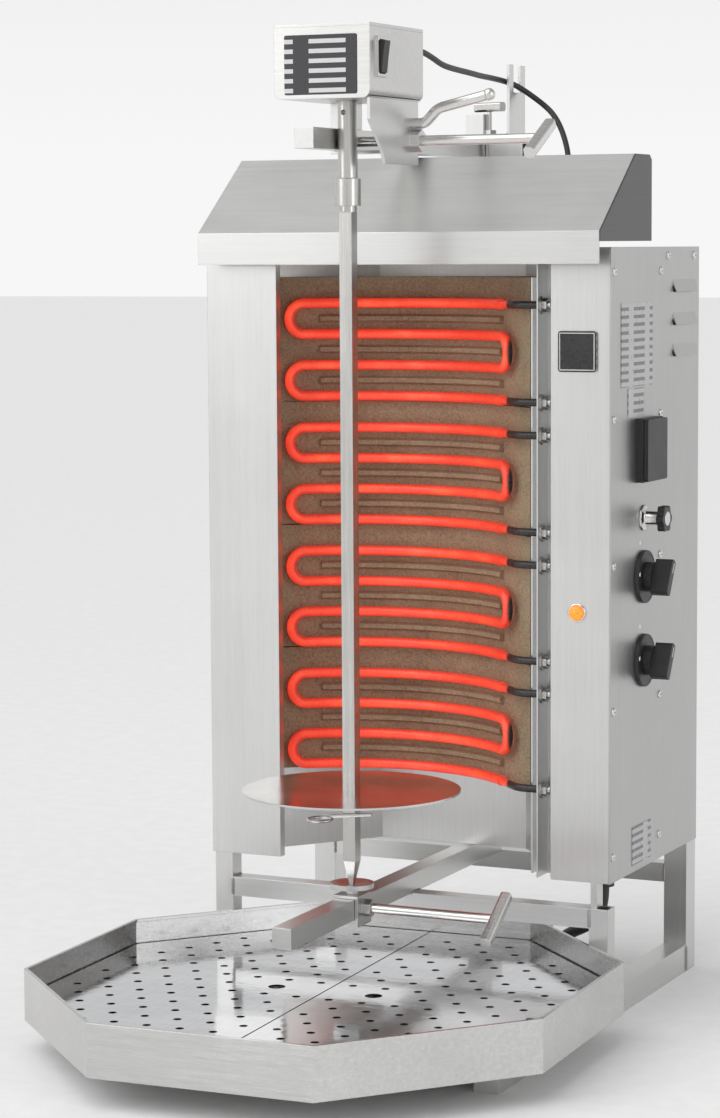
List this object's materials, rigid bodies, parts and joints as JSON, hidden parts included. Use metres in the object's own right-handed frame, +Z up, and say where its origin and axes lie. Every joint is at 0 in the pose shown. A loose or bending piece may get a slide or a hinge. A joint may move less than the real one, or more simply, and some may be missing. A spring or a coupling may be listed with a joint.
{
  "type": "vertical rotisserie broiler",
  "caption": "Electric vertical rotisserie broiler with a curved firebrick heating wall, motor-driven spit on sliding arms, octagonal drip tray and side control box.",
  "frame": {"origin": "centre of the base's bounding box on the floor", "axes": "+Z up, +X to the control box side, -Y to the front where the spit and tray are"},
  "size_m": [0.5382, 0.7518, 0.98],
  "materials": {
    "stainless": "brushed",
    "tray_steel": "polished",
    "dark_steel": "satin",
    "firebrick": "matt",
    "hot_element": "satin",
    "zinc": "satin",
    "cast_motor": "satin",
    "black_plastic": "satin",
    "label": "satin",
    "lamp": "gloss",
    "cable_rubber": "matt"
  },
  "bodies": {
    "stand": {"rail_left": "stainless", "rail_right": "stainless", "rear_post_left": "stainless", "rear_post_right": "stainless", "front_post_left": "stainless", "front_leg_right": "stainless", "front_crossbar": "stainless", "rear_crossbar": "stainless", "mast": "stainless", "lower_arm": "stainless", "upper_arm": "stainless", "cable_fork": "stainless", "left_column": "stainless", "back_reflector": "stainless", "firebrick_1": "firebrick", "firebrick_2": "firebrick", "firebrick_3": "firebrick", "firebrick_4": "firebrick", "heating_element_1": "hot_element", "heating_element_2": "hot_element", "heating_element_3": "hot_element", "heating_element_4": "hot_element", "terminal_strip": "stainless", "control_front_panel": "stainless", "control_side_cover": "stainless", "control_rear_cover": "stainless", "control_base": "stainless", "hood_sheet": "stainless", "hood_end_right": "dark_steel", "signal_lamp": "lamp", "label_plates": "label", "cover_screws": "zinc", "socket_base": "black_plastic", "switch_bezels": "black_plastic", "cable_glands": "black_plastic", "inner_controls": "black_plastic", "motor_cable": "cable_rubber", "mains_cord": "cable_rubber", "cord_coil": "cable_rubber", "cord_plug": "black_plastic"},
    "motor_head": {"motor_housing": "stainless", "motor_cover": "stainless", "motor_bracket": "stainless", "gear_motor": "cast_motor", "push_handle": "stainless"},
    "rocker": {"rocker": "black_plastic"},
    "upper_clamp": {"upper_clamp_screw": "stainless"},
    "drive_shaft": {"drive_shaft": "stainless"},
    "lower_carriage": {"lower_bracket": "stainless"},
    "lower_clamp": {"lower_clamp_screw": "stainless"},
    "spit": {"spit_bar": "stainless", "meat_plate": "tray_steel"},
    "arm_clamp": {"arm_clamp_screw": "zinc"},
    "socket_lid": {"socket_lid": "black_plastic"},
    "knob_1": {"knob_1": "black_plastic"},
    "knob_2": {"knob_2": "black_plastic"},
    "star_knob": {"star_knob": "black_plastic"},
    "tray": {"drip_tray": "tray_steel"},
    "grate_left": {"grate_left": "tray_steel"},
    "grate_right": {"grate_right": "tray_steel"}
  },
  "joints": [
    {"name": "head_slide", "type": "slide", "parent": "stand", "child": "motor_head", "axis": [0, 1, 0], "range_m": [-0.04, 0.05], "deforming": ["motor_cable"]},
    {"name": "carriage_slide", "type": "slide", "parent": "stand", "child": "lower_carriage", "axis": [0, 1, 0], "range_m": [-0.04, 0.05]},
    {"name": "spit_spin", "type": "hinge", "parent": "lower_carriage", "child": "spit", "pos_m": [-0.003, -0.02006, 0.24], "axis": [0, 0, 1], "continuous": true},
    {"name": "drive_spin", "type": "hinge", "parent": "motor_head", "child": "drive_shaft", "pos_m": [-0.003, -0.02006, 0.87], "axis": [0, 0, 1], "continuous": true},
    {"name": "upper_clamp_turn", "type": "hinge", "parent": "motor_head", "child": "upper_clamp", "pos_m": [0.081, 0.02394, 0.8725], "axis": [1, 0, 0], "range_deg": [-180, 180]},
    {"name": "lower_clamp_turn", "type": "hinge", "parent": "lower_carriage", "child": "lower_clamp", "pos_m": [0.081, -0.02006, 0.124], "axis": [1, 0, 0], "range_deg": [-180, 180]},
    {"name": "arm_clamp_turn", "type": "hinge", "parent": "stand", "child": "arm_clamp", "pos_m": [-0.01, 0.35394, 0.89], "axis": [0, 0, 1], "range_deg": [-180, 180]},
    {"name": "rocker_tilt", "type": "hinge", "parent": "motor_head", "child": "rocker", "pos_m": [0.0475, -0.05306, 0.949], "axis": [0, 1, 0], "range_deg": [-8, 0]},
    {"name": "socket_lid_swing", "type": "hinge", "parent": "stand", "child": "socket_lid", "pos_m": [0.2313, 0.20494, 0.5965], "axis": [0, -1, 0], "range_deg": [0, 100]},
    {"name": "knob_1_turn", "type": "hinge", "parent": "stand", "child": "knob_1", "pos_m": [0.231, 0.19894, 0.438], "axis": [1, 0, 0], "range_deg": [0, 270]},
    {"name": "knob_2_turn", "type": "hinge", "parent": "stand", "child": "knob_2", "pos_m": [0.231, 0.19894, 0.353], "axis": [1, 0, 0], "range_deg": [0, 270]},
    {"name": "star_knob_turn", "type": "hinge", "parent": "stand", "child": "star_knob", "pos_m": [0.231, 0.19894, 0.4975], "axis": [1, 0, 0], "range_deg": [-180, 180]},
    {"name": "tray_slide", "type": "slide", "parent": "stand", "child": "tray", "axis": [0, -1, 0], "range_m": [0, 0.25]},
    {"name": "grate_left_lift", "type": "slide", "parent": "tray", "child": "grate_left", "axis": [0, 0, 1], "range_m": [0, 0.03]},
    {"name": "grate_right_lift", "type": "slide", "parent": "tray", "child": "grate_right", "axis": [0, 0, 1], "range_m": [0, 0.03]}
  ],
  "couplings": [
    {"joint": "carriage_slide", "follows": "head_slide", "ratio": 1},
    {"joint": "drive_spin", "follows": "spit_spin", "ratio": 1}
  ]
}
